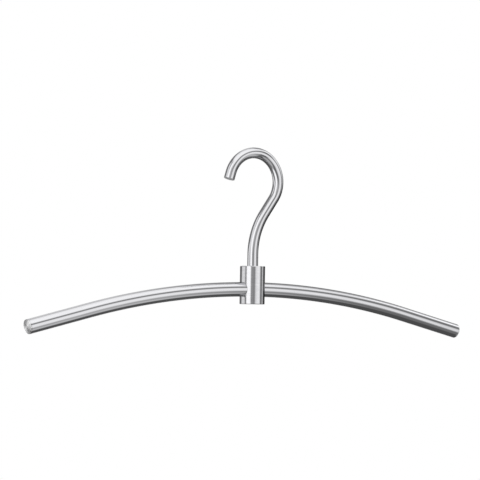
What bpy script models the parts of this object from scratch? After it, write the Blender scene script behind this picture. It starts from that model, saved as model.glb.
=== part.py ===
"""Stainless steel clothes hanger with a swivelling hook.

A curved round tube, closed by a turned cap at each end, passes through a turned hub. A question-mark
hook stands in the hub in a plastic bush and turns about the hub's axis. Lengths are metres. +Z is up,
+X runs along the bow, and the origin is the point where the wardrobe rail touches the hook.
"""

import math

import bmesh
import bpy
from mathutils import Matrix

# Bow: one round tube, rolled to an arc, with its two ends left straight
OVERALL_WIDTH = 0.450
BOW_DIAMETER = 0.0127
BOW_WALL = 0.0015
BOW_BEND_RADIUS = 0.680
BOW_STRAIGHT_END = 0.0625

# End caps: a flush head with a crowned face and a rounded edge, and a spigot that is driven into the tube
CAP_HEAD_LENGTH = 0.002
CAP_CROWN_RADIUS = 0.026
CAP_EDGE_RADIUS = 0.0008
CAP_SPIGOT_LENGTH = 0.010
CAP_LEAD_CHAMFER = 0.0006

# Hub: a turned cylinder, bored across for the bow and from the top for the hook
HUB_DIAMETER = 0.022
HUB_BELOW_BOW = 0.013
HUB_EDGE_CHAMFER = 0.0004
HOOK_ENTRY_DEPTH = 0.002
BUSH_LENGTH = 0.0042
BUSH_SEAT_WALL = 0.0006
PIVOT_FLOOR = 0.0023

# Hook: a bent round rod, from the hub up to its tip, which is cut square after a short straight end
HOOK_DIAMETER = 0.0095
HOOK_SHANK_STRAIGHT = 0.0105
NECK_BEND_RADIUS = 0.062
NECK_STRAIGHT = 0.0165
CROOK_INNER_DIAMETER = 0.041
CROOK_END_ANGLE = math.radians(163)
TIP_STRAIGHT = 0.0062
TIP_EDGE_RADIUS = 0.0004

# Pivot: the hook's turned-down spigot, its bush, and the groove that the retaining screw runs in
BUSH_WALL = 0.001
SPIGOT_CHAMFER = 0.0003
GROOVE_DEPTH = 0.0009
GROOVE_END_LAND = 0.0009

# Grub screws: one with a dog point keeps the hook in, the other clamps the bow from below
RETAINER_DIAMETER = 0.003
RETAINER_SOCKET = 0.0015
DOG_DIAMETER = 0.002
CLAMP_DIAMETER = 0.005
CLAMP_SOCKET = 0.0025
SCREW_RECESS = 0.0004
SCREW_CHAMFER = 0.0004
SOCKET_DEPTH_SHARE = 0.5

# Clearances: round a piece in its bore, between two seated faces, and past a cut's faces
FIT_GAP = 0.0002
SEAT_GAP = 0.0003
CUT_OVERRUN = 0.001
MERGE_DISTANCE = 0.000005
SHARP_ANGLE = math.radians(30)

# Facet counts
BOW_SIDES = 40
BOW_ARC_STEPS = 28
HOOK_SIDES = 36
NECK_STEPS = 10
CROOK_STEPS = 44
EDGE_STEPS = 4
TURNED_STEPS = 48
SCREW_STEPS = 24
SOCKET_SIDES = 6

# Radii that follow from the sizes above. The bush is as thick as the step from rod to spigot
BOW_RADIUS = BOW_DIAMETER / 2
BOW_BORE_RADIUS = BOW_RADIUS - BOW_WALL
HUB_RADIUS = HUB_DIAMETER / 2
HOOK_RADIUS = HOOK_DIAMETER / 2
HOOK_BORE_RADIUS = HOOK_RADIUS + FIT_GAP
CROOK_RADIUS = CROOK_INNER_DIAMETER / 2 + HOOK_RADIUS
BUSH_INNER_RADIUS = HOOK_RADIUS - BUSH_WALL
SPIGOT_RADIUS = BUSH_INNER_RADIUS - FIT_GAP
GROOVE_RADIUS = SPIGOT_RADIUS - GROOVE_DEPTH
DOG_RADIUS = DOG_DIAMETER / 2
RETAINER_HOLE_RADIUS = RETAINER_DIAMETER / 2 + FIT_GAP
CLAMP_HOLE_RADIUS = CLAMP_DIAMETER / 2 + FIT_GAP

# The cross bore is straight, so it also clears the height that the bow loses between the hub's sides
BOW_SAG_IN_HUB = BOW_BEND_RADIUS - math.sqrt(BOW_BEND_RADIUS**2 - HUB_RADIUS**2)
CROSS_BORE_RADIUS = BOW_RADIUS + FIT_GAP + BOW_SAG_IN_HUB

# A cap's rounded edge runs tangent into its crowned face. The edge's centre lies below the crown's top
CAP_EDGE_RING = BOW_RADIUS - CAP_EDGE_RADIUS
CAP_CROWN_TILT = math.asin(CAP_EDGE_RING / (CAP_CROWN_RADIUS - CAP_EDGE_RADIUS))
CAP_EDGE_DROP = CAP_CROWN_RADIUS - (CAP_CROWN_RADIUS - CAP_EDGE_RADIUS) * math.cos(CAP_CROWN_TILT)

# The bow is as wide as OVERALL_WIDTH over the rounded edges of its caps, which fixes its end slope
BOW_RISE_ARM = BOW_BEND_RADIUS + CAP_EDGE_RING
BOW_RUN_ARM = BOW_STRAIGHT_END - CAP_EDGE_DROP
BOW_HALF_REACH = OVERALL_WIDTH / 2 - CAP_EDGE_RADIUS
BOW_END_SLOPE = math.asin(BOW_HALF_REACH / math.hypot(BOW_RISE_ARM, BOW_RUN_ARM)) - math.atan2(
    BOW_RUN_ARM, BOW_RISE_ARM
)

# The neck leans just far enough for the crook's centre to come back over the hub's axis
NECK_SPAN = NECK_BEND_RADIUS + CROOK_RADIUS
NECK_LEAN = math.acos(NECK_BEND_RADIUS / math.hypot(NECK_SPAN, NECK_STRAIGHT)) - math.atan2(
    NECK_STRAIGHT, NECK_SPAN
)

# Heights above the bow's axis, from the cross bore up. The hub is as tall as what it holds
PIVOT_BORE_END_Z = CROSS_BORE_RADIUS + PIVOT_FLOOR
SPIGOT_END_Z = PIVOT_BORE_END_Z + SEAT_GAP
GROOVE_END_Z = SPIGOT_END_Z + GROOVE_END_LAND
RETAINER_Z = GROOVE_END_Z + FIT_GAP + DOG_RADIUS
GROOVE_TOP_Z = RETAINER_Z + DOG_RADIUS + FIT_GAP
BUSH_SEAT_Z = RETAINER_Z + RETAINER_HOLE_RADIUS + BUSH_SEAT_WALL
BUSH_END_Z = BUSH_SEAT_Z + SEAT_GAP
BUSH_TOP_Z = BUSH_END_Z + BUSH_LENGTH
SHOULDER_Z = BUSH_TOP_Z + SEAT_GAP
HUB_TOP_Z = SHOULDER_Z + HOOK_ENTRY_DEPTH
BEND_START_Z = HUB_TOP_Z + HOOK_SHANK_STRAIGHT
CROOK_CENTRE_Z = BEND_START_Z + NECK_SPAN * math.sin(NECK_LEAN) + NECK_STRAIGHT * math.cos(NECK_LEAN)
RAIL_SEAT_Z = CROOK_CENTRE_Z + CROOK_INNER_DIAMETER / 2


def clear_scene():
    for leftover in list(bpy.data.objects):
        bpy.data.objects.remove(leftover, do_unlink=True)


def new_collection(name):
    collection = bpy.data.collections.new(name)
    bpy.context.scene.collection.children.link(collection)
    return collection


def new_material(name, colour, metallic, roughness):
    material = bpy.data.materials.new(name)
    material.use_nodes = True
    shader = material.node_tree.nodes["Principled BSDF"]
    shader.inputs["Base Color"].default_value = (*colour, 1.0)
    shader.inputs["Metallic"].default_value = metallic
    shader.inputs["Roughness"].default_value = roughness
    return material


def place(name, data, collection, parent=None, material=None):
    """An object in its collection, carried by its parent."""
    thing = bpy.data.objects.new(name, data)
    collection.objects.link(thing)
    thing.parent = parent
    if material is not None:
        thing.data.materials.append(material)
    return thing


def shade_round(thing):
    """Smooth shading that stops at real edges."""
    thing.data.shade_smooth()
    thing.data.set_sharp_from_angle(angle=SHARP_ANGLE)


def turned_mesh(name, profile):
    """The half outline of a turned piece, as a chain of edges in the XZ plane."""
    mesh = bpy.data.meshes.new(name)
    corners = [(radius, 0, height) for radius, height in profile]
    links = [(index, index + 1) for index in range(len(corners) - 1)]
    mesh.from_pydata(corners, links, [])
    return mesh


def add_turning(thing, steps):
    """Turns the half outline about the piece's own Z axis."""
    turning = thing.modifiers.new("turning", "SCREW")
    turning.axis = "Z"
    turning.angle = math.tau
    turning.steps = steps
    turning.render_steps = steps
    turning.use_merge_vertices = True
    turning.merge_threshold = MERGE_DISTANCE
    turning.use_smooth_shade = True


def cylinder_mesh(name, radius, start, end, sides, matrix=None):
    """A closed prism about Z between two heights, turned or moved by a matrix."""
    shape = bmesh.new()
    bmesh.ops.create_cone(
        shape, cap_ends=True, segments=sides, radius1=radius, radius2=radius, depth=end - start
    )
    bmesh.ops.translate(shape, verts=shape.verts, vec=(0, 0, (start + end) / 2))
    if matrix is not None:
        bmesh.ops.transform(shape, matrix=matrix, verts=shape.verts)
    mesh = bpy.data.meshes.new(name)
    shape.to_mesh(mesh)
    shape.free()
    return mesh


def rod_mesh(name, route, radii, sides, capped):
    """A round rod or tube skin along a route in the XZ plane, as a mesh made from a bevelled curve."""
    curve = bpy.data.curves.new(name, "CURVE")
    curve.dimensions = "3D"
    curve.twist_mode = "MINIMUM"
    curve.bevel_depth = max(radii)
    curve.bevel_resolution = sides // 2 - 2
    curve.use_fill_caps = capped
    spline = curve.splines.new("POLY")
    spline.points.add(len(route) - 1)
    for point, (x, z), radius in zip(spline.points, route, radii):
        point.co = (x, 0, z, 1)
        point.radius = radius / max(radii)
    guide = bpy.data.objects.new(name, curve)
    bpy.context.scene.collection.objects.link(guide)
    bpy.context.view_layer.update()
    evaluated = guide.evaluated_get(bpy.context.evaluated_depsgraph_get())
    mesh = bpy.data.meshes.new_from_object(evaluated)
    bpy.data.objects.remove(guide, do_unlink=True)
    shape = bmesh.new()
    shape.from_mesh(mesh)
    bmesh.ops.remove_doubles(shape, verts=shape.verts, dist=MERGE_DISTANCE)
    shape.to_mesh(mesh)
    shape.free()
    return mesh


def combine(target, mesh, operation, collection, parent):
    """Cuts a helper shape from the target, or joins it on. The helper stays as a wire guide."""
    helper = place(mesh.name, mesh, collection, parent)
    helper.hide_render = True
    helper.display_type = "WIRE"
    boolean = target.modifiers.new(mesh.name, "BOOLEAN")
    boolean.operation = operation
    boolean.solver = "EXACT"
    boolean.object = helper
    return helper


def bow_route():
    """Points of the bow's axis from the left cap's seam to the right one, its top at the hub."""
    seam = BOW_STRAIGHT_END - CAP_HEAD_LENGTH
    arc = []
    for step in range(BOW_ARC_STEPS + 1):
        turn = BOW_END_SLOPE * (2 * step / BOW_ARC_STEPS - 1)
        arc.append((BOW_BEND_RADIUS * math.sin(turn), BOW_BEND_RADIUS * (math.cos(turn) - 1)))
    run = seam * math.cos(BOW_END_SLOPE)
    drop = seam * math.sin(BOW_END_SLOPE)
    left = (arc[0][0] - run, arc[0][1] - drop)
    right = (arc[-1][0] + run, arc[-1][1] - drop)
    return [left, *arc, right]


def hook_route():
    """Points of the hook's axis and its radius at each, from the shoulder to the tip's broken edge."""
    route = [(0, SHOULDER_Z)]
    for step in range(NECK_STEPS + 1):
        turn = NECK_LEAN * step / NECK_STEPS
        route.append(
            (NECK_BEND_RADIUS * (1 - math.cos(turn)), BEND_START_Z + NECK_BEND_RADIUS * math.sin(turn))
        )
    for step in range(CROOK_STEPS + 1):
        turn = -NECK_LEAN + (CROOK_END_ANGLE + NECK_LEAN) * step / CROOK_STEPS
        route.append((CROOK_RADIUS * math.cos(turn), CROOK_CENTRE_Z + CROOK_RADIUS * math.sin(turn)))
    radii = [HOOK_RADIUS] * len(route)
    bend_end_x, bend_end_z = route[-1]
    for step in range(EDGE_STEPS + 1):
        roll = math.pi / 2 * step / EDGE_STEPS
        run = TIP_STRAIGHT - TIP_EDGE_RADIUS * (1 - math.sin(roll))
        route.append(
            (bend_end_x - run * math.sin(CROOK_END_ANGLE), bend_end_z + run * math.cos(CROOK_END_ANGLE))
        )
        radii.append(HOOK_RADIUS - TIP_EDGE_RADIUS * (1 - math.cos(roll)))
    return route, radii


def make_hook(collection, cutters, material):
    """The bent rod, with the spigot and its groove turned on the lower end."""
    route, radii = hook_route()
    rod = rod_mesh("hook", route, radii, HOOK_SIDES, capped=True)
    hook = place("hook", rod, collection, material=material)
    hook.location.z = -RAIL_SEAT_Z
    shade_round(hook)
    profile = [
        (0, SHOULDER_Z + CUT_OVERRUN),
        (SPIGOT_RADIUS, SHOULDER_Z + CUT_OVERRUN),
        (SPIGOT_RADIUS, GROOVE_TOP_Z),
        (GROOVE_RADIUS, GROOVE_TOP_Z),
        (GROOVE_RADIUS, GROOVE_END_Z),
        (SPIGOT_RADIUS, GROOVE_END_Z),
        (SPIGOT_RADIUS, SPIGOT_END_Z + SPIGOT_CHAMFER),
        (SPIGOT_RADIUS - SPIGOT_CHAMFER, SPIGOT_END_Z),
        (0, SPIGOT_END_Z),
    ]
    spigot = combine(hook, turned_mesh("hook_spigot", profile), "UNION", cutters, hook)
    add_turning(spigot, HOOK_SIDES)
    return hook


def make_hub(collection, cutters, parent, material):
    """The turned cylinder with its stepped pivot bore, cut across for the bow and for both screws."""
    foot = -HUB_BELOW_BOW
    profile = [
        (0, PIVOT_BORE_END_Z),
        (BUSH_INNER_RADIUS, PIVOT_BORE_END_Z),
        (BUSH_INNER_RADIUS, BUSH_SEAT_Z),
        (HOOK_BORE_RADIUS, BUSH_SEAT_Z),
        (HOOK_BORE_RADIUS, HUB_TOP_Z),
        (HUB_RADIUS - HUB_EDGE_CHAMFER, HUB_TOP_Z),
        (HUB_RADIUS, HUB_TOP_Z - HUB_EDGE_CHAMFER),
        (HUB_RADIUS, foot + HUB_EDGE_CHAMFER),
        (HUB_RADIUS - HUB_EDGE_CHAMFER, foot),
        (0, foot),
    ]
    hub = place("hub", turned_mesh("hub", profile), collection, parent, material)
    add_turning(hub, TURNED_STEPS)
    reach = HUB_RADIUS + CUT_OVERRUN
    across = Matrix.Rotation(math.pi / 2, 4, "Y")
    bow_cut = cylinder_mesh("hub_cross_bore", CROSS_BORE_RADIUS, -reach, reach, BOW_SIDES, across)
    combine(hub, bow_cut, "DIFFERENCE", cutters, parent)
    to_rear = Matrix.Translation((0, 0, RETAINER_Z)) @ Matrix.Rotation(-math.pi / 2, 4, "X")
    retainer_cut = cylinder_mesh("hub_retainer_hole", RETAINER_HOLE_RADIUS, 0, reach, SCREW_STEPS, to_rear)
    combine(hub, retainer_cut, "DIFFERENCE", cutters, parent)
    clamp_cut = cylinder_mesh("hub_clamp_hole", CLAMP_HOLE_RADIUS, foot - CUT_OVERRUN, 0, SCREW_STEPS)
    combine(hub, clamp_cut, "DIFFERENCE", cutters, parent)
    return hub


def make_bow(collection, parent, material):
    """The bent tube: the skin of a round rod, thickened inwards to the tube's wall."""
    route = bow_route()
    mesh = rod_mesh("bow_tube", route, [BOW_RADIUS] * len(route), BOW_SIDES, capped=False)
    bow = place("bow_tube", mesh, collection, parent, material)
    shade_round(bow)
    wall = bow.modifiers.new("wall", "SOLIDIFY")
    wall.thickness = BOW_WALL
    wall.offset = -1
    wall.use_even_offset = True
    return bow


def make_cap(name, side, collection, parent, material):
    """A turned cap: crowned head outside the tube, plain spigot with a lead-in inside it."""
    spigot_radius = BOW_BORE_RADIUS - FIT_GAP
    profile = []
    for step in range(EDGE_STEPS):
        tilt = CAP_CROWN_TILT * step / EDGE_STEPS
        crown_drop = CAP_CROWN_RADIUS * (1 - math.cos(tilt))
        profile.append((CAP_CROWN_RADIUS * math.sin(tilt), CAP_HEAD_LENGTH - crown_drop))
    for step in range(EDGE_STEPS + 1):
        roll = CAP_CROWN_TILT + (math.pi / 2 - CAP_CROWN_TILT) * step / EDGE_STEPS
        height = CAP_HEAD_LENGTH - CAP_EDGE_DROP + CAP_EDGE_RADIUS * math.cos(roll)
        profile.append((CAP_EDGE_RING + CAP_EDGE_RADIUS * math.sin(roll), height))
    profile += [
        (BOW_RADIUS, SEAT_GAP),
        (spigot_radius, SEAT_GAP),
        (spigot_radius, -CAP_SPIGOT_LENGTH + CAP_LEAD_CHAMFER),
        (spigot_radius - CAP_LEAD_CHAMFER, -CAP_SPIGOT_LENGTH),
        (0, -CAP_SPIGOT_LENGTH),
    ]
    cap = place(name, turned_mesh(name, profile), collection, parent, material)
    add_turning(cap, BOW_SIDES)
    seam_x, seam_z = bow_route()[-1]
    cap.location = (side * seam_x, 0, seam_z)
    cap.rotation_euler.y = side * (math.pi / 2 + BOW_END_SLOPE)
    return cap


def make_bush(collection, parent, material):
    """The plain bush that the hook's spigot turns in, pushed into the hub under the rod."""
    profile = [
        (BUSH_INNER_RADIUS, BUSH_END_Z),
        (BUSH_INNER_RADIUS, BUSH_TOP_Z),
        (HOOK_RADIUS, BUSH_TOP_Z),
        (HOOK_RADIUS, BUSH_END_Z),
        (BUSH_INNER_RADIUS, BUSH_END_Z),
    ]
    bush = place("pivot_bush", turned_mesh("pivot_bush", profile), collection, parent, material)
    add_turning(bush, TURNED_STEPS)
    return bush


def make_screw(name, diameter, socket, tip, collection, cutters, parent, material):
    """A grub screw about its own Z axis: its socket face at zero, then down the outline of its tip."""
    radius = diameter / 2
    profile = [(0, 0), (radius - SCREW_CHAMFER, 0), (radius, -SCREW_CHAMFER), *tip]
    screw = place(name, turned_mesh(name, profile), collection, parent, material)
    add_turning(screw, SCREW_STEPS)
    corner_radius = socket / 2 / math.cos(math.pi / SOCKET_SIDES)
    depth = diameter * SOCKET_DEPTH_SHARE
    hexagon = cylinder_mesh(name + "_socket", corner_radius, -depth, CUT_OVERRUN, SOCKET_SIDES)
    combine(screw, hexagon, "DIFFERENCE", cutters, screw)
    return screw


def make_retaining_screw(collection, cutters, parent, material):
    """The dog-point screw at the back of the hub, whose point runs in the hook's groove."""
    head_y = HUB_RADIUS - SCREW_RECESS
    shank = head_y - BUSH_INNER_RADIUS - SEAT_GAP
    reach = head_y - GROOVE_RADIUS - SEAT_GAP
    radius = RETAINER_DIAMETER / 2
    tip = [(radius, -shank + SCREW_CHAMFER), (DOG_RADIUS, -shank), (DOG_RADIUS, -reach), (0, -reach)]
    name = "hook_retaining_screw"
    screw = make_screw(
        name, RETAINER_DIAMETER, RETAINER_SOCKET, tip, collection, cutters, parent, material
    )
    screw.location = (0, head_y, RETAINER_Z)
    screw.rotation_euler.x = -math.pi / 2
    return screw


def make_clamp_screw(collection, cutters, parent, material):
    """The screw in the foot of the hub, which bears on the underside of the bow."""
    head_z = -HUB_BELOW_BOW + SCREW_RECESS
    shank = -head_z - BOW_RADIUS - SEAT_GAP
    radius = CLAMP_DIAMETER / 2
    tip = [(radius, -shank + SCREW_CHAMFER), (radius - SCREW_CHAMFER, -shank), (0, -shank)]
    screw = make_screw(
        "bow_clamp_screw", CLAMP_DIAMETER, CLAMP_SOCKET, tip, collection, cutters, parent, material
    )
    screw.location.z = head_z
    screw.rotation_euler.x = math.pi
    return screw


clear_scene()
hanger = new_collection("clothes_hanger")
cutters = new_collection("cutters")
brushed_steel = new_material("brushed_stainless", (0.62, 0.62, 0.63), 1.0, 0.28)
turned_steel = new_material("turned_stainless", (0.66, 0.66, 0.67), 1.0, 0.22)
screw_steel = new_material("plain_screw_steel", (0.55, 0.55, 0.56), 1.0, 0.35)
white_acetal = new_material("white_acetal", (0.82, 0.82, 0.80), 0.0, 0.45)

bow_frame = bpy.data.objects.new("bow_frame", None)
bow_frame.location.z = -RAIL_SEAT_Z
hanger.objects.link(bow_frame)

make_hook(hanger, cutters, brushed_steel)
make_hub(hanger, cutters, bow_frame, brushed_steel)
make_bow(hanger, bow_frame, brushed_steel)
make_cap("left_end_cap", -1, hanger, bow_frame, turned_steel)
make_cap("right_end_cap", 1, hanger, bow_frame, turned_steel)
make_bush(hanger, bow_frame, white_acetal)
make_retaining_screw(hanger, cutters, bow_frame, screw_steel)
make_clamp_screw(hanger, cutters, bow_frame, screw_steel)
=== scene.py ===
"""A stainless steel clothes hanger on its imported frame: each piece's looks, a pale floor, a soft studio."""

import math

import bmesh
import bpy
from mathutils import Matrix, Vector


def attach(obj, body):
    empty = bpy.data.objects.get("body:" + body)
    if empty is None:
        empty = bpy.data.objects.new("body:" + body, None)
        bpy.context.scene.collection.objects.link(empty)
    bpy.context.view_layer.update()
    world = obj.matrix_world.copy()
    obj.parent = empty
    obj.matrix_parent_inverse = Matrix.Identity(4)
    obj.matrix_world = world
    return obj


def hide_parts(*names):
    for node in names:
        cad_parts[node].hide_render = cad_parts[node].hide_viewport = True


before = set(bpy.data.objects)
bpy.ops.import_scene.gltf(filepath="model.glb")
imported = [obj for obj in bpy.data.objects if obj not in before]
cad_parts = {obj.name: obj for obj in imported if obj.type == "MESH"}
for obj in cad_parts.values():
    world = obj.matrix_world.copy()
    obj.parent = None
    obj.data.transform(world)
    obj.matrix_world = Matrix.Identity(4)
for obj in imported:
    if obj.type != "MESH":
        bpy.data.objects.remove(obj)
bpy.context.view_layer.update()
scene = bpy.context.scene
scene.view_settings.view_transform = "Standard"

# Camera: a long lens two and a half metres away and a little below the bow, to the left of the hanger.
# It leans by about a degree, and the bow's middle sits low and just right of the picture's centre.
BOW_MIDDLE = Vector((0, 0, -0.1150064))
CAMERA_AZIMUTH = math.radians(-32.873)
CAMERA_ELEVATION = math.radians(-1.172)
CAMERA_ROLL = math.radians(0.943)
CAMERA_DISTANCE = 2.5244
CAMERA_LENS_MM = 216.0
AIM_LEFT_OF_BOW = 0.01075
AIM_ABOVE_BOW = 0.0433

to_camera = Vector(
    (
        math.sin(CAMERA_AZIMUTH) * math.cos(CAMERA_ELEVATION),
        -math.cos(CAMERA_AZIMUTH) * math.cos(CAMERA_ELEVATION),
        math.sin(CAMERA_ELEVATION),
    )
)
level_right = Vector((math.cos(CAMERA_AZIMUTH), math.sin(CAMERA_AZIMUTH), 0))
level_up = to_camera.cross(level_right)
picture_right = math.cos(CAMERA_ROLL) * level_right + math.sin(CAMERA_ROLL) * level_up
picture_up = math.cos(CAMERA_ROLL) * level_up - math.sin(CAMERA_ROLL) * level_right
camera = bpy.data.objects.new("studio_camera", bpy.data.cameras.new("studio_camera"))
camera.data.lens = CAMERA_LENS_MM
camera.matrix_world = Matrix.Translation(
    BOW_MIDDLE
    - AIM_LEFT_OF_BOW * picture_right
    + AIM_ABOVE_BOW * picture_up
    + CAMERA_DISTANCE * to_camera
) @ Matrix((picture_right, picture_up, to_camera)).transposed().to_4x4()
scene.collection.objects.link(camera)
scene.camera = camera

# Hook: 9.5 mm stainless rod, cold bent in an S and a crook, its lower end turned down to a grooved
# spigot that hangs in the hub. The rod is belt-ground along its length, then lightly polished.
# The height of every piece is given above the bow's axis.
HUB_TOP_Z = 0.0204390
HOOK_RADIUS = 0.00475
SPIGOT_RADIUS = 0.00355
GROOVE_RADIUS = 0.00265
SPIGOT_CHAMFER = 0.0003
SHOULDER_EDGE = 0.0003
SPIGOT_END_Z = HUB_TOP_Z - 0.0112
GROOVE_END_Z = HUB_TOP_Z - 0.0103
GROOVE_TOP_Z = HUB_TOP_Z - 0.0079
SHOULDER_Z = HUB_TOP_Z - 0.0020
BEND_START_Z = HUB_TOP_Z + 0.0105
NECK_BEND_RADIUS = 0.062
NECK_LEAN = math.radians(35.006)
CROOK_RADIUS = 0.02525
CROOK_CENTRE_Z = 0.094506
CROOK_END_ANGLE = math.radians(163)
TIP_STRAIGHT = 0.0062
TIP_EDGE_RADIUS = 0.0004
# A ring just inside the tip's rounded edge keeps the edge's smooth shading off the flat end
TIP_FLAT_MARGIN = 0.00008
NECK_STATIONS = 30
CROOK_STATIONS = 120
EDGE_STATIONS = 8
ROD_SIDES = 128
SHARP_ANGLE = math.radians(28)
STEEL_LIGHT = "#E4E4E6"
STEEL_DARK = "#C7C7CA"
# At a glancing angle steel reflects less than a plain mirror would, which outlines every round piece
STEEL_EDGE = "#B3B3B3"
# A noise scale of 1000 gives grains one millimetre across
ONE_MM = 1000
SCRATCH_RELIEF = 0.35
SCRATCH_DEPTH = 0.00002
SCRATCH_DULLING = 0.06
# Handling leaves cloudy patches about 15 mm across, a little duller than the rest
HANDLED_PATCH_MM = 15
HANDLED_DULLING = 0.04


def linear(hex_colour):
    """An sRGB hex colour as the linear colour that Blender works in."""
    channels = [int(hex_colour[place : place + 2], 16) / 255 for place in (1, 3, 5)]
    return (*((c / 12.92 if c <= 0.04045 else ((c + 0.055) / 1.055) ** 2.4) for c in channels), 1.0)


def add_node(tree, kind, settings=None, links=None):
    """One node with its own settings, and each input given a value or another node's output."""
    node = tree.nodes.new(kind)
    for name, value in (settings or {}).items():
        setattr(node, name, value)
    for name, value in (links or {}).items():
        if isinstance(value, bpy.types.NodeSocket):
            tree.links.new(value, node.inputs[name])
        else:
            node.inputs[name].default_value = value
    return node


def round_mesh(name, stations, across, sides, hollow=False):
    """Rings of points about an axis line, skinned into one closed piece. A station is a centre, a direction
    and a radius. Each point keeps its place on the straightened piece, in metres."""
    shape = bmesh.new()
    straightened = shape.verts.layers.float_vector.new("straightened")
    wrap = shape.loops.layers.uv.new("round_and_along")
    rings = []
    along = skin = 0.0
    before = None
    for centre, direction, radius in stations:
        if before is not None:
            step = (centre - before[0]).dot(direction)
            along += step
            skin += math.hypot(step, radius - before[1])
        before = (centre, radius)
        up = direction.cross(across)
        ring = []
        for index in range(sides if radius > 0 else 1):
            turn = math.tau * index / sides
            corner = shape.verts.new(centre + radius * (math.cos(turn) * up + math.sin(turn) * across))
            corner[straightened] = (radius * math.cos(turn), radius * math.sin(turn), along)
            ring.append(corner)
        rings.append((ring, skin))
    pairs = list(zip(rings, rings[1:]))
    if hollow:
        pairs.append((rings[-1], rings[0]))
    for (low, low_skin), (high, high_skin) in pairs:
        for index in range(sides):
            after = (index + 1) % sides
            corners = [(low[index % len(low)], index, low_skin)]
            if len(low) > 1:
                corners.append((low[after], index + 1, low_skin))
            if len(high) > 1:
                corners.append((high[after], index + 1, high_skin))
            corners.append((high[index % len(high)], index, high_skin))
            face = shape.faces.new([corner for corner, _, _ in corners])
            for loop, (_, place, length) in zip(face.loops, corners):
                loop[wrap].uv = (place / sides, length)
    bmesh.ops.recalc_face_normals(shape, faces=shape.faces)
    mesh = bpy.data.meshes.new(name)
    shape.to_mesh(mesh)
    shape.free()
    mesh.shade_smooth()
    mesh.set_sharp_from_angle(angle=SHARP_ANGLE)
    return mesh


def dress(name, mesh, material, body, node):
    """The piece as an object that rides on its body and stands for its CAD node."""
    piece = bpy.data.objects.new(name, mesh)
    scene.collection.objects.link(piece)
    mesh.materials.clear()
    mesh.materials.append(material)
    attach(piece, body)
    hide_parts(node)
    return piece


def upright_stations(outline):
    """The stations of a piece turned about the hub's axis, from the heights and radii of its outline."""
    return [(BOW_MIDDLE + Vector((0, 0, height)), Vector((0, 0, 1)), radius) for height, radius in outline]


def satin_stainless(
    name, grain, roughness, anisotropic, rotation, light=STEEL_LIGHT, dark=STEEL_DARK, edge=STEEL_EDGE
):
    """Ground or turned 304 stainless: a grey metal whose fine scratches all run one way, seen as faint
    streaks. The grain is a scratch's size in millimetres, both ways across and then along the piece."""
    material = bpy.data.materials.new(name)
    material.use_nodes = True
    tree = material.node_tree
    steel = tree.nodes["Principled BSDF"]
    steel.inputs["Metallic"].default_value = 1.0
    steel.inputs["Specular Tint"].default_value = linear(edge)
    steel.inputs["Anisotropic"].default_value = anisotropic
    steel.inputs["Anisotropic Rotation"].default_value = rotation
    place = add_node(tree, "ShaderNodeAttribute", {"attribute_name": "straightened"})
    scratch_place = add_node(
        tree,
        "ShaderNodeMapping",
        links={"Vector": place.outputs["Vector"], "Scale": [ONE_MM / size for size in grain]},
    )
    scratches = add_node(
        tree,
        "ShaderNodeTexNoise",
        links={"Vector": scratch_place.outputs["Vector"], "Scale": 1.0, "Detail": 3.0, "Roughness": 0.6},
    )
    patches = add_node(
        tree,
        "ShaderNodeTexNoise",
        links={"Vector": place.outputs["Vector"], "Scale": ONE_MM / HANDLED_PATCH_MM, "Detail": 2.0},
    )
    tone = add_node(
        tree,
        "ShaderNodeMix",
        {"data_type": "RGBA"},
        {"Factor": scratches.outputs["Fac"], "A": linear(dark), "B": linear(light)},
    )
    tree.links.new(tone.outputs["Result"], steel.inputs["Base Color"])
    dulling = add_node(
        tree,
        "ShaderNodeMath",
        {"operation": "MULTIPLY_ADD"},
        {
            0: scratches.outputs["Fac"],
            1: SCRATCH_DULLING,
            2: roughness - (SCRATCH_DULLING + HANDLED_DULLING) / 2,
        },
    )
    handled = add_node(
        tree,
        "ShaderNodeMath",
        {"operation": "MULTIPLY_ADD"},
        {0: patches.outputs["Fac"], 1: HANDLED_DULLING, 2: dulling.outputs["Value"]},
    )
    tree.links.new(handled.outputs["Value"], steel.inputs["Roughness"])
    relief = add_node(
        tree,
        "ShaderNodeBump",
        links={"Height": scratches.outputs["Fac"], "Strength": SCRATCH_RELIEF, "Distance": SCRATCH_DEPTH},
    )
    tree.links.new(relief.outputs["Normal"], steel.inputs["Normal"])
    around = add_node(
        tree, "ShaderNodeTangent", {"direction_type": "UV_MAP", "uv_map": "round_and_along"}
    )
    tree.links.new(around.outputs["Tangent"], steel.inputs["Tangent"])
    return material


hook_stations = upright_stations(
    (
        (SPIGOT_END_Z, 0),
        (SPIGOT_END_Z, SPIGOT_RADIUS - SPIGOT_CHAMFER),
        (SPIGOT_END_Z + SPIGOT_CHAMFER, SPIGOT_RADIUS),
        (GROOVE_END_Z, SPIGOT_RADIUS),
        (GROOVE_END_Z, GROOVE_RADIUS),
        (GROOVE_TOP_Z, GROOVE_RADIUS),
        (GROOVE_TOP_Z, SPIGOT_RADIUS),
        (SHOULDER_Z, SPIGOT_RADIUS),
        (SHOULDER_Z, HOOK_RADIUS - SHOULDER_EDGE),
        (SHOULDER_Z + SHOULDER_EDGE, HOOK_RADIUS),
    )
)
neck_centre = BOW_MIDDLE + Vector((NECK_BEND_RADIUS, 0, BEND_START_Z))
for station in range(NECK_STATIONS + 1):
    turn = NECK_LEAN * station / NECK_STATIONS
    middle = neck_centre + NECK_BEND_RADIUS * Vector((-math.cos(turn), 0, math.sin(turn)))
    hook_stations.append((middle, Vector((math.sin(turn), 0, math.cos(turn))), HOOK_RADIUS))
crook_centre = BOW_MIDDLE + Vector((0, 0, CROOK_CENTRE_Z))
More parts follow.
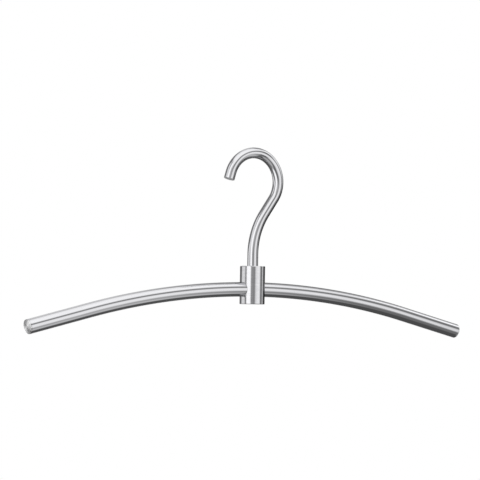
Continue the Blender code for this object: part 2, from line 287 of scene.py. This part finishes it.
for station in range(CROOK_STATIONS + 1):
    turn = -NECK_LEAN + (CROOK_END_ANGLE + NECK_LEAN) * station / CROOK_STATIONS
    middle = crook_centre + CROOK_RADIUS * Vector((math.cos(turn), 0, math.sin(turn)))
    hook_stations.append((middle, Vector((-math.sin(turn), 0, math.cos(turn))), HOOK_RADIUS))
bend_end, tip_way, _ = hook_stations[-1]
for station in range(EDGE_STATIONS + 1):
    roll = math.pi / 2 * station / EDGE_STATIONS
    run = TIP_STRAIGHT - TIP_EDGE_RADIUS * (1 - math.sin(roll))
    hook_stations.append(
        (bend_end + run * tip_way, tip_way, HOOK_RADIUS - TIP_EDGE_RADIUS * (1 - math.cos(roll)))
    )
tip = bend_end + TIP_STRAIGHT * tip_way
hook_stations += [
    (tip, tip_way, HOOK_RADIUS - TIP_EDGE_RADIUS - TIP_FLAT_MARGIN),
    (tip, tip_way, 0),
]
# The belt's scratches are some 0.05 mm wide, too fine to show, so they are drawn 0.7 mm wide
hook_steel = satin_stainless(
    "satin_stainless_hook", grain=(0.7, 0.7, 25), roughness=0.08, anisotropic=0.2, rotation=0.0
)
bent_hook = dress(
    "bent_hook",
    round_mesh("bent_hook", hook_stations, Vector((0, 1, 0)), ROD_SIDES),
    hook_steel,
    "hook_body",
    "hook",
)
# The tip's flat end is only ground square, so it is matt beside the polished rod. Its near-white colour,
# lighter than any steel, is painted sheen that makes the end look lit. Its marks, like those on the caps
# and the screws, are too fine to show, so they are drawn 0.2 to 0.4 mm wide
TIP_PAINTED_SHEEN_LIGHT = "#FDFDFD"
TIP_PAINTED_SHEEN_DARK = "#F3F3F3"
GROUND_EDGE = "#FFFFFF"
SQUARE_TO_TIP = 0.99
tip_painted_sheen = satin_stainless(
    "ground_stainless_tip_painted_sheen",
    grain=(0.3, 0.3, 0.4),
    roughness=0.85,
    anisotropic=0.0,
    rotation=0.0,
    light=TIP_PAINTED_SHEEN_LIGHT,
    dark=TIP_PAINTED_SHEEN_DARK,
    edge=GROUND_EDGE,
)
# The flat end gets the ground steel, whose near-white colour is painted sheen
bent_hook.data.materials.append(tip_painted_sheen)
for face in bent_hook.data.polygons:
    if (face.center - tip).length < HOOK_RADIUS and face.normal.dot(tip_way) > SQUARE_TO_TIP:
        face.material_index = 1

# Hub: a 22 mm turned stainless cylinder. It is bored across for the bow and from the top for the hook
# and its bush, drilled and countersunk for two grub screws, and its rims are broken by a fine chamfer.
HUB_RADIUS = 0.011
HUB_FOOT_Z = -0.013
HUB_CHAMFER = 0.0004
PIVOT_BORE_RADIUS = 0.00375
PIVOT_BORE_END_Z = HUB_TOP_Z - 0.0115
BUSH_SEAT_Z = HUB_TOP_Z - 0.0068
HOOK_BORE_RADIUS = 0.00483
RETAINER_Z = HUB_TOP_Z - 0.0091
RETAINER_HOLE_RADIUS = 0.00155
RETAINER_HOLE_SIDES = 48
CLAMP_HOLE_RADIUS = 0.00255
CLAMP_HOLE_SIDES = 64
COUNTERSINK = 0.0003
BOW_RADIUS = 0.00635
BOW_BEND_RADIUS = 0.680
BOW_CLEARANCE = 0.00004
HUB_SIDES = 256
BORE_STATIONS = 12
CUT_OVERRUN = 0.001


def cut(piece, tool):
    """Takes the tool's shape out of the piece for good."""
    helper = bpy.data.objects.new(tool.name, tool)
    scene.collection.objects.link(helper)
    boolean = piece.modifiers.new(tool.name, "BOOLEAN")
    boolean.solver = "EXACT"
    boolean.object = helper
    bpy.context.view_layer.update()
    evaluated = piece.evaluated_get(bpy.context.evaluated_depsgraph_get())
    mesh = bpy.data.meshes.new_from_object(evaluated)
    piece.modifiers.clear()
    piece.data = mesh
    bpy.data.objects.remove(helper, do_unlink=True)


hub_stations = upright_stations(
    (
        (PIVOT_BORE_END_Z, 0),
        (PIVOT_BORE_END_Z, PIVOT_BORE_RADIUS),
        (BUSH_SEAT_Z, PIVOT_BORE_RADIUS),
        (BUSH_SEAT_Z, HOOK_BORE_RADIUS),
        (HUB_TOP_Z - HUB_CHAMFER / 2, HOOK_BORE_RADIUS),
        (HUB_TOP_Z, HOOK_BORE_RADIUS + HUB_CHAMFER / 2),
        (HUB_TOP_Z, HUB_RADIUS - HUB_CHAMFER),
        (HUB_TOP_Z - HUB_CHAMFER, HUB_RADIUS),
        (HUB_FOOT_Z + HUB_CHAMFER, HUB_RADIUS),
        (HUB_FOOT_Z, HUB_RADIUS - HUB_CHAMFER),
        (HUB_FOOT_Z, 0),
    )
)
hub = bpy.data.objects.new("hub_work", round_mesh("hub_work", hub_stations, Vector((0, 1, 0)), HUB_SIDES))
scene.collection.objects.link(hub)

bore_reach = math.asin((HUB_RADIUS + CUT_OVERRUN) / BOW_BEND_RADIUS)
bore_stations = []
for station in range(BORE_STATIONS + 1):
    turn = bore_reach * (2 * station / BORE_STATIONS - 1)
    middle = BOW_MIDDLE + BOW_BEND_RADIUS * Vector((math.sin(turn), 0, math.cos(turn) - 1))
    bore_stations.append((middle, Vector((math.cos(turn), 0, -math.sin(turn))), BOW_RADIUS + BOW_CLEARANCE))
bore_stations = [(*bore_stations[0][:2], 0), *bore_stations, (*bore_stations[-1][:2], 0)]
cut(hub, round_mesh("cross_bore", bore_stations, Vector((0, 1, 0)), ROD_SIDES))


def drill_stations(mouth, inwards, radius, depth):
    """A drill with a countersink, from just outside the mouth to its depth."""
    return [
        (mouth - CUT_OVERRUN * inwards, inwards, 0),
        (mouth - CUT_OVERRUN * inwards, inwards, radius + COUNTERSINK + CUT_OVERRUN),
        (mouth + COUNTERSINK * inwards, inwards, radius),
        (mouth + depth * inwards, inwards, radius),
        (mouth + depth * inwards, inwards, 0),
    ]


retainer_mouth = BOW_MIDDLE + Vector((0, HUB_RADIUS, RETAINER_Z))
clamp_mouth = BOW_MIDDLE + Vector((0, 0, HUB_FOOT_Z))
retainer_drill = drill_stations(retainer_mouth, Vector((0, -1, 0)), RETAINER_HOLE_RADIUS, HUB_RADIUS)
clamp_drill = drill_stations(clamp_mouth, Vector((0, 0, 1)), CLAMP_HOLE_RADIUS, -HUB_FOOT_Z)
cut(hub, round_mesh("retainer_hole", retainer_drill, Vector((1, 0, 0)), RETAINER_HOLE_SIDES))
cut(hub, round_mesh("clamp_hole", clamp_drill, Vector((0, 1, 0)), CLAMP_HOLE_SIDES))

hub_mesh = hub.data
bpy.data.objects.remove(hub, do_unlink=True)
hub_mesh.name = "turned_hub"
hub_place = hub_mesh.attributes["straightened"]
for corner in hub_mesh.vertices:
    hub_place.data[corner.index].vector = corner.co - BOW_MIDDLE
hub_mesh.shade_smooth()
hub_mesh.set_sharp_from_angle(angle=SHARP_ANGLE)
# The lathe's rings are about 0.1 mm apart, too fine to show, so they are drawn as soft bands 2 mm high
TURNED_LIGHT = "#E8E8EA"
TURNED_DARK = "#C3C3C6"
hub_steel = satin_stainless(
    "turned_stainless_hub",
    grain=(9, 9, 2),
    roughness=0.10,
    anisotropic=0.4,
    rotation=0.25,
    light=TURNED_LIGHT,
    dark=TURNED_DARK,
)
dress("turned_hub", hub_mesh, hub_steel, "bow_body", "hub")

# Bow: 12.7 mm stainless tube with a 1.5 mm wall, rolled to a 680 mm radius and left straight at both
# ends. It is ground along its length, goes right through the hub and is clamped there from below.
BOW_WALL = 0.0015
BOW_END_SLOPE = math.radians(13.919)
BOW_STRAIGHT = 0.0605
BOW_STATIONS = 96
STRAIGHT_STATIONS = 8

bow_line = []
for station in range(STRAIGHT_STATIONS):
    run = BOW_STRAIGHT * (1 - station / STRAIGHT_STATIONS)
    bow_line.append((-BOW_END_SLOPE, -run))
for station in range(BOW_STATIONS + 1):
    bow_line.append((BOW_END_SLOPE * (2 * station / BOW_STATIONS - 1), 0.0))
for station in range(1, STRAIGHT_STATIONS + 1):
    bow_line.append((BOW_END_SLOPE, BOW_STRAIGHT * station / STRAIGHT_STATIONS))
bow_stations = []
for turn, run in bow_line:
    direction = Vector((math.cos(turn), 0, -math.sin(turn)))
    middle = BOW_MIDDLE + BOW_BEND_RADIUS * Vector((math.sin(turn), 0, math.cos(turn) - 1))
    bow_stations.append((middle + run * direction, direction, BOW_RADIUS))
inside = [(middle, direction, BOW_RADIUS - BOW_WALL) for middle, direction, _ in reversed(bow_stations)]
# The tube is ground as the rod is, with longer scratches, again drawn 0.7 mm wide so that they show
bow_steel = satin_stainless(
    "satin_stainless_tube", grain=(0.7, 0.7, 35), roughness=0.08, anisotropic=0.2, rotation=0.0
)
dress(
    "rolled_tube",
    round_mesh("rolled_tube", bow_stations + inside, Vector((0, 1, 0)), ROD_SIDES, hollow=True),
    bow_steel,
    "bow_body",
    "bow_tube",
)

# End caps: two stainless plugs, turned with a rounded rim and a plain spigot, and driven into the tube.
# Their slightly crowned face is turned on the lathe, which leaves fine rings and two bright fans of light.
CAP_HEAD = 0.002
CAP_CROWN_RADIUS = 0.026
CAP_EDGE_RADIUS = 0.0008
CAP_SPIGOT_LENGTH = 0.010
CAP_SPIGOT_RADIUS = 0.00465
CAP_LEAD = 0.0006
CAP_SEAM = 0.00005

edge_ring = BOW_RADIUS - CAP_EDGE_RADIUS
crown_tilt = math.asin(edge_ring / (CAP_CROWN_RADIUS - CAP_EDGE_RADIUS))
edge_drop = CAP_CROWN_RADIUS - (CAP_CROWN_RADIUS - CAP_EDGE_RADIUS) * math.cos(crown_tilt)
# The face's near-white colours are painted sheen, far lighter than the steel of the cap's side
CAP_FACE_PAINTED_SHEEN_LIGHT = "#FCFCFC"
CAP_FACE_PAINTED_SHEEN_DARK = "#F1F1F2"
FACE_LEAN = 0.05
# The cap's side is polished flush with the tube, so their seam hardly shows
side_steel = satin_stainless(
    "polished_stainless_cap_side", grain=(0.3, 0.3, 0.4), roughness=0.08, anisotropic=0.2, rotation=0.0
)
# Its face and rounded rim are left as turned: a broad soft sheen that the rings stretch across the face.
# Their near-white colour, lighter than the side's steel, is painted sheen
cap_face_painted_sheen = satin_stainless(
    "faced_stainless_cap_painted_sheen",
    grain=(0.3, 0.3, 0.4),
    roughness=0.45,
    anisotropic=0.98,
    rotation=0.25,
    light=CAP_FACE_PAINTED_SHEEN_LIGHT,
    dark=CAP_FACE_PAINTED_SHEEN_DARK,
)
for side, name in ((-1, "left"), (1, "right")):
    outwards = Vector((side * math.cos(BOW_END_SLOPE), 0, -math.sin(BOW_END_SLOPE)))
    seam = (bow_stations[0] if side < 0 else bow_stations[-1])[0]
    outline = [
        (-CAP_SPIGOT_LENGTH, 0),
        (-CAP_SPIGOT_LENGTH, CAP_SPIGOT_RADIUS - CAP_LEAD),
        (-CAP_SPIGOT_LENGTH + CAP_LEAD, CAP_SPIGOT_RADIUS),
        (CAP_SEAM, CAP_SPIGOT_RADIUS),
        (CAP_SEAM, BOW_RADIUS - CAP_SEAM),
        (2 * CAP_SEAM, BOW_RADIUS),
    ]
    for station in range(EDGE_STATIONS + 1):
        roll = math.pi / 2 - (math.pi / 2 - crown_tilt) * station / EDGE_STATIONS
        run = CAP_HEAD - edge_drop + CAP_EDGE_RADIUS * math.cos(roll)
        outline.append((run, edge_ring + CAP_EDGE_RADIUS * math.sin(roll)))
    for station in range(1, EDGE_STATIONS + 1):
        tilt = crown_tilt * (1 - station / EDGE_STATIONS)
        run = CAP_HEAD - CAP_CROWN_RADIUS * (1 - math.cos(tilt))
        outline.append((run, CAP_CROWN_RADIUS * math.sin(tilt)))
    cap_stations = [(seam + run * outwards, outwards, radius) for run, radius in outline]
    plug = dress(
        name + "_plug",
        round_mesh(name + "_plug", cap_stations, Vector((0, 1, 0)), ROD_SIDES),
        side_steel,
        "bow_body",
        name + "_end_cap",
    )
    plug.data.materials.append(cap_face_painted_sheen)
    # The faces that look outwards take the turned steel with its painted sheen
    for face in plug.data.polygons:
        if face.normal.dot(outwards) > FACE_LEAN:
            face.material_index = 1

# Pivot bush: a white acetal sleeve, moulded, pressed in the hub's top bore under the hook's shoulder.
# The steel spigot turns in it, so metal never rubs on metal.
BUSH_INNER_RADIUS = 0.00375
BUSH_OUTER_RADIUS = 0.00475
BUSH_END_Z = HUB_TOP_Z - 0.0065
BUSH_TOP_Z = HUB_TOP_Z - 0.0023
BUSH_EDGE = 0.0002
BUSH_SIDES = 96
ACETAL_WHITE = "#E9E8E3"
ACETAL_SHADE = "#DFDED8"
ACETAL_IOR = 1.48
ACETAL_ROUGHNESS = 0.4
# The spark-eroded mould leaves a satin skin, in grains about 0.15 mm wide
MOULD_GRAIN_MM = 0.15
MOULD_GRAIN_RELIEF = 0.4
MOULD_GRAIN_DEPTH = 0.00002

acetal = bpy.data.materials.new("moulded_acetal_bush")
acetal.use_nodes = True
acetal_tree = acetal.node_tree
acetal_shader = acetal_tree.nodes["Principled BSDF"]
acetal_shader.inputs["IOR"].default_value = ACETAL_IOR
acetal_shader.inputs["Roughness"].default_value = ACETAL_ROUGHNESS
acetal_place = add_node(acetal_tree, "ShaderNodeAttribute", {"attribute_name": "straightened"})
acetal_skin = add_node(
    acetal_tree,
    "ShaderNodeTexNoise",
    links={"Vector": acetal_place.outputs["Vector"], "Scale": ONE_MM / MOULD_GRAIN_MM, "Detail": 2.0},
)
acetal_tone = add_node(
    acetal_tree,
    "ShaderNodeMix",
    {"data_type": "RGBA"},
    {"Factor": acetal_skin.outputs["Fac"], "A": linear(ACETAL_SHADE), "B": linear(ACETAL_WHITE)},
)
acetal_tree.links.new(acetal_tone.outputs["Result"], acetal_shader.inputs["Base Color"])
acetal_relief = add_node(
    acetal_tree,
    "ShaderNodeBump",
    links={
        "Height": acetal_skin.outputs["Fac"],
        "Strength": MOULD_GRAIN_RELIEF,
        "Distance": MOULD_GRAIN_DEPTH,
    },
)
acetal_tree.links.new(acetal_relief.outputs["Normal"], acetal_shader.inputs["Normal"])
bush_stations = upright_stations(
    (
        (BUSH_END_Z, BUSH_INNER_RADIUS + BUSH_EDGE),
        (BUSH_END_Z, BUSH_OUTER_RADIUS - BUSH_EDGE),
        (BUSH_END_Z + BUSH_EDGE, BUSH_OUTER_RADIUS),
        (BUSH_TOP_Z - BUSH_EDGE, BUSH_OUTER_RADIUS),
        (BUSH_TOP_Z, BUSH_OUTER_RADIUS - BUSH_EDGE),
        (BUSH_TOP_Z, BUSH_INNER_RADIUS + BUSH_EDGE),
        (BUSH_TOP_Z - BUSH_EDGE, BUSH_INNER_RADIUS),
        (BUSH_END_Z + BUSH_EDGE, BUSH_INNER_RADIUS),
    )
)
dress(
    "bush_sleeve",
    round_mesh("bush_sleeve", bush_stations, Vector((0, 1, 0)), BUSH_SIDES, hollow=True),
    acetal,
    "bow_body",
    "pivot_bush",
)

# Grub screws: an M3 dog-point screw at the back of the hub, whose point runs in the hook's groove, and
# an M5 screw in the foot that clamps the bow. Both are plain stainless with a thread and a hexagon socket.
SCREW_SIDES = 48
SCREW_CHAMFER = 0.0004
SOCKET_SIDES = 6
SOCKET_DEPTH_SHARE = 0.5
THREAD_DEPTH_SHARE = 0.6
THREAD_CREST_SHARE = 0.99
THREAD_RINGS = 8

# Tumbled clean after the thread is cut, which leaves the steel duller than the hub, with no grain to see
screw_steel = satin_stainless(
    "plain_stainless_screw", grain=(0.2, 0.2, 0.3), roughness=0.3, anisotropic=0.2, rotation=0.0
)


def grub_screw(name, diameter, pitch, socket, head, inwards, across, shank, tip):
    """A threaded body about its own axis: the socket face at the head, then the thread, then the tip."""
    radius = diameter / 2
    stations = [(head, inwards, 0), (head, inwards, radius - SCREW_CHAMFER)]
    rings = round((shank - 2 * SCREW_CHAMFER) / pitch * THREAD_RINGS)
    for ring in range(rings + 1):
        run = SCREW_CHAMFER + (shank - 2 * SCREW_CHAMFER) * ring / rings
        stations.append((head + run * inwards, inwards, radius))
    stations += [(head + run * inwards, inwards, size) for run, size in tip]
    mesh = round_mesh(name, stations, across, SCREW_SIDES)
    up = inwards.cross(across)
    for corner in mesh.vertices:
        out = corner.co - head
        run = out.dot(inwards)
        out -= run * inwards
        on_thread = SCREW_CHAMFER / 2 < run < shank - SCREW_CHAMFER / 2
        if on_thread and out.length > radius * THREAD_CREST_SHARE:
            turn = math.atan2(out.dot(across), out.dot(up)) / math.tau
            flank = abs(((run / pitch - turn) % 1.0) * 2 - 1)
            corner.co -= out.normalized() * pitch * THREAD_DEPTH_SHARE * flank
    screw = bpy.data.objects.new(name, mesh)
    scene.collection.objects.link(screw)
    corner_radius = socket / 2 / math.cos(math.pi / SOCKET_SIDES)
    depth = diameter * SOCKET_DEPTH_SHARE
    hexagon = [
        (head - CUT_OVERRUN * inwards, inwards, 0),
        (head - CUT_OVERRUN * inwards, inwards, corner_radius),
        (head + depth * inwards, inwards, corner_radius),
        (head + (depth + corner_radius / 2) * inwards, inwards, 0),
    ]
    cut(screw, round_mesh(name + "_socket", hexagon, across, SOCKET_SIDES))
    mesh = screw.data
    bpy.data.objects.remove(screw, do_unlink=True)
    mesh.name = name
    mesh.shade_smooth()
    mesh.set_sharp_from_angle(angle=SHARP_ANGLE)
    return mesh


RETAINER_DIAMETER = 0.003
RETAINER_PITCH = 0.0005
RETAINER_SOCKET = 0.0015
RETAINER_HEAD_Y = 0.0106
RETAINER_SHANK = 0.00655
RETAINER_REACH = 0.00765
DOG_RADIUS = 0.001
retainer_head = BOW_MIDDLE + Vector((0, RETAINER_HEAD_Y, RETAINER_Z))
retainer_tip = [
    (RETAINER_SHANK, DOG_RADIUS + SCREW_CHAMFER / 2),
    (RETAINER_SHANK, DOG_RADIUS),
    (RETAINER_REACH, DOG_RADIUS),
    (RETAINER_REACH, 0),
]
dress(
    "dog_point_screw",
    grub_screw(
        "dog_point_screw",
        RETAINER_DIAMETER,
        RETAINER_PITCH,
        RETAINER_SOCKET,
        retainer_head,
        Vector((0, -1, 0)),
        Vector((1, 0, 0)),
        RETAINER_SHANK,
        retainer_tip,
    ),
    screw_steel,
    "bow_body",
    "hook_retaining_screw",
)
CLAMP_DIAMETER = 0.005
CLAMP_PITCH = 0.0008
CLAMP_SOCKET = 0.0025
CLAMP_HEAD_Z = -0.0126
CLAMP_SHANK = 0.00595
CLAMP_TIP_RADIUS = 0.0021
clamp_head = BOW_MIDDLE + Vector((0, 0, CLAMP_HEAD_Z))
clamp_tip = [(CLAMP_SHANK, CLAMP_TIP_RADIUS), (CLAMP_SHANK, 0)]
dress(
    "foot_screw",
    grub_screw(
        "foot_screw",
        CLAMP_DIAMETER,
        CLAMP_PITCH,
        CLAMP_SOCKET,
        clamp_head,
        Vector((0, 0, 1)),
        Vector((0, 1, 0)),
        CLAMP_SHANK,
        clamp_tip,
    ),
    screw_steel,
    "bow_body",
    "bow_clamp_screw",
)

# Floor: a plain matt white studio board, just under half a metre below the hanger. Its far edge fades
# into the white backdrop, so that no line crosses a view. The steel mirrors the studio, but not the board.
FLOOR_Z = -0.60
FLOOR_RADIUS = 3.2
FLOOR_FADE_START = 1.6
FLOOR_FADE_END = FLOOR_RADIUS * 0.98
FLOOR_SIDES = 96
BOARD_WHITE = "#F3F3F1"
BOARD_ROUGHNESS = 0.9
BOARD_GLOSS = 0.1

floor_shape = bmesh.new()
bmesh.ops.create_circle(floor_shape, cap_ends=True, radius=FLOOR_RADIUS, segments=FLOOR_SIDES)
floor_mesh = bpy.data.meshes.new("studio_floor")
floor_shape.to_mesh(floor_mesh)
floor_shape.free()
floor = bpy.data.objects.new("studio_floor", floor_mesh)
floor.location.z = FLOOR_Z
floor.visible_glossy = False
scene.collection.objects.link(floor)
board = bpy.data.materials.new("matt_white_board")
board.use_nodes = True
board_tree = board.node_tree
board_shader = board_tree.nodes["Principled BSDF"]
board_shader.inputs["Base Color"].default_value = linear(BOARD_WHITE)
board_shader.inputs["Roughness"].default_value = BOARD_ROUGHNESS
board_shader.inputs["Specular IOR Level"].default_value = BOARD_GLOSS
board_place = add_node(board_tree, "ShaderNodeTexCoord")
from_middle = add_node(
    board_tree, "ShaderNodeVectorMath", {"operation": "LENGTH"}, {0: board_place.outputs["Object"]}
)
board_fade = add_node(
    board_tree,
    "ShaderNodeMapRange",
    {"interpolation_type": "SMOOTHSTEP"},
    {
        "Value": from_middle.outputs["Value"],
        "From Min": FLOOR_FADE_START,
        "From Max": FLOOR_FADE_END,
        "To Min": 1.0,
        "To Max": 0.0,
    },
)
board_tree.links.new(board_fade.outputs["Result"], board_shader.inputs["Alpha"])
floor_mesh.materials.append(board)

# Studio: a soft white tent, painted by direction about the hanger, in degrees. Azimuth 0 is behind the
# camera and 90 to its right. Each line is a soft box or a dark flag, laid over the ones before it. A
# level of 1 is as bright as the white backdrop.
STUDIO = (
    # name, azimuth, elevation, half width, half height, tilt, soft edge, level
    ("upper tent", 0, 90, 180, 40, -5, 15, 1.2),
    ("overhead box", 40, 65, 65, 25, 0, 25, 1.3),
    ("left wall", -95, 15, 45, 25, 30, 10, 0.95),
    ("left rear flag", -130, 20, 35, 25, 30, 5, 0.25),
    ("rear left glow", -175, 30, 20, 25, 15, 25, 1.25),
    ("key box", -35, 0, 20, 50, -15, 15, 1.4),
    ("low front fill", 40, -5, 15, 20, -20, 20, 1),
    ("front bar", 5, 15, 15, 10, 40, 35, 0.7),
    ("front fill", 60, 0, 15, 20, -10, 20, 1.15),
    ("foot of the fill", 60, -20, 5, 5, 0, 5, 0),
    ("front top strip", 15, 40, 20, 8, 15, 15, 1.3),
    ("right window", 120, 30, 10, 15, 0, 5, 1.95),
    ("right wall", 130, 20, 35, 15, 20, 10, 1.15),
    ("right rear flag", 165, 35, 10, 25, 0, 25, 0.15),
    ("low right flag", 135, -25, 25, 35, 50, 30, 0.05),
    ("right shelf", 90, -40, 10, 30, 20, 20, 0.7),
    ("low rear flag", 140, -70, 115, 25, 10, 15, 0.1),
    ("rear flag", -175, -20, 35, 20, 5, 10, 0.25),
    ("right gap", 140, 50, 15, 10, 0, 5, 0.55),
    ("front floor", 15, -60, 50, 15, 0, 10, 0.55),
)
BETWEEN_LEVEL = 0.2
BACKDROP_WHITE = "#FFFFFF"

world = bpy.data.worlds.new("studio_tent")
world.use_nodes = True
scene.world = world
sky = world.node_tree
sky.nodes.clear()
ray = add_node(sky, "ShaderNodeTexCoord")
turned = add_node(
    sky,
    "ShaderNodeVectorRotate",
    {"rotation_type": "Z_AXIS"},
    {"Vector": ray.outputs["Generated"], "Angle": -CAMERA_AZIMUTH},
)
split = add_node(sky, "ShaderNodeSeparateXYZ", links={0: turned.outputs["Vector"]})
forward = add_node(sky, "ShaderNodeMath", {"operation": "MULTIPLY"}, {0: split.outputs["Y"], 1: -1.0})
azimuth = add_node(
    sky, "ShaderNodeMath", {"operation": "ARCTAN2"}, {0: split.outputs["X"], 1: forward.outputs["Value"]}
)
elevation = add_node(sky, "ShaderNodeMath", {"operation": "ARCSINE"}, {0: split.outputs["Z"]})
facing = add_node(
    sky, "ShaderNodeCombineXYZ", links={"X": azimuth.outputs["Value"], "Y": elevation.outputs["Value"]}
)
painted = BETWEEN_LEVEL
for name, box_azimuth, box_elevation, half_width, half_height, tilt, edge, brightness in STUDIO:
    middle = Vector((math.radians(box_azimuth), math.radians(box_elevation), 0))
    off_middle = add_node(
        sky, "ShaderNodeVectorMath", {"operation": "SUBTRACT"}, {0: facing.outputs["Vector"], 1: middle}
    )
    wrapped = add_node(
        sky,
        "ShaderNodeVectorMath",
        {"operation": "WRAP"},
        {0: off_middle.outputs["Vector"], 1: (math.pi, math.pi, 1), 2: (-math.pi, -math.pi, -1)},
    )
    upright = add_node(
        sky,
        "ShaderNodeVectorRotate",
        {"rotation_type": "Z_AXIS"},
        {"Vector": wrapped.outputs["Vector"], "Angle": -math.radians(tilt)},
    )
    off_sides = add_node(
        sky, "ShaderNodeVectorMath", {"operation": "ABSOLUTE"}, {0: upright.outputs["Vector"]}
    )
    widths = (half_width, half_height)
    within = add_node(
        sky,
        "ShaderNodeMapRange",
        {"data_type": "FLOAT_VECTOR", "interpolation_type": "SMOOTHSTEP"},
        {
            "Vector": off_sides.outputs["Vector"],
            "From Min": (*(math.radians(width - edge / 2) for width in widths), 0),
            "From Max": (*(math.radians(width + edge / 2) for width in widths), 1),
            "To Min": (1, 1, 1),
            "To Max": (0, 0, 0),
        },
    )
    sides = add_node(sky, "ShaderNodeSeparateXYZ", links={0: within.outputs["Vector"]})
    in_box = add_node(
        sky, "ShaderNodeMath", {"operation": "MULTIPLY"}, {0: sides.outputs["X"], 1: sides.outputs["Y"]}
    )
    laid_over = add_node(
        sky,
        "ShaderNodeMix",
        {"data_type": "FLOAT", "label": name},
        {"Factor": in_box.outputs["Value"], "A": painted, "B": brightness},
    )
    painted = laid_over.outputs["Result"]
tent = add_node(sky, "ShaderNodeBackground", links={"Color": painted})
backdrop = add_node(sky, "ShaderNodeBackground", links={"Color": linear(BACKDROP_WHITE)})
ray_kind = add_node(sky, "ShaderNodeLightPath")
seen = add_node(
    sky,
    "ShaderNodeMixShader",
    links={
        "Fac": ray_kind.outputs["Is Camera Ray"],
        1: tent.outputs["Background"],
        2: backdrop.outputs["Background"],
    },
)
add_node(sky, "ShaderNodeOutputWorld", links={"Surface": seen.outputs["Shader"]})
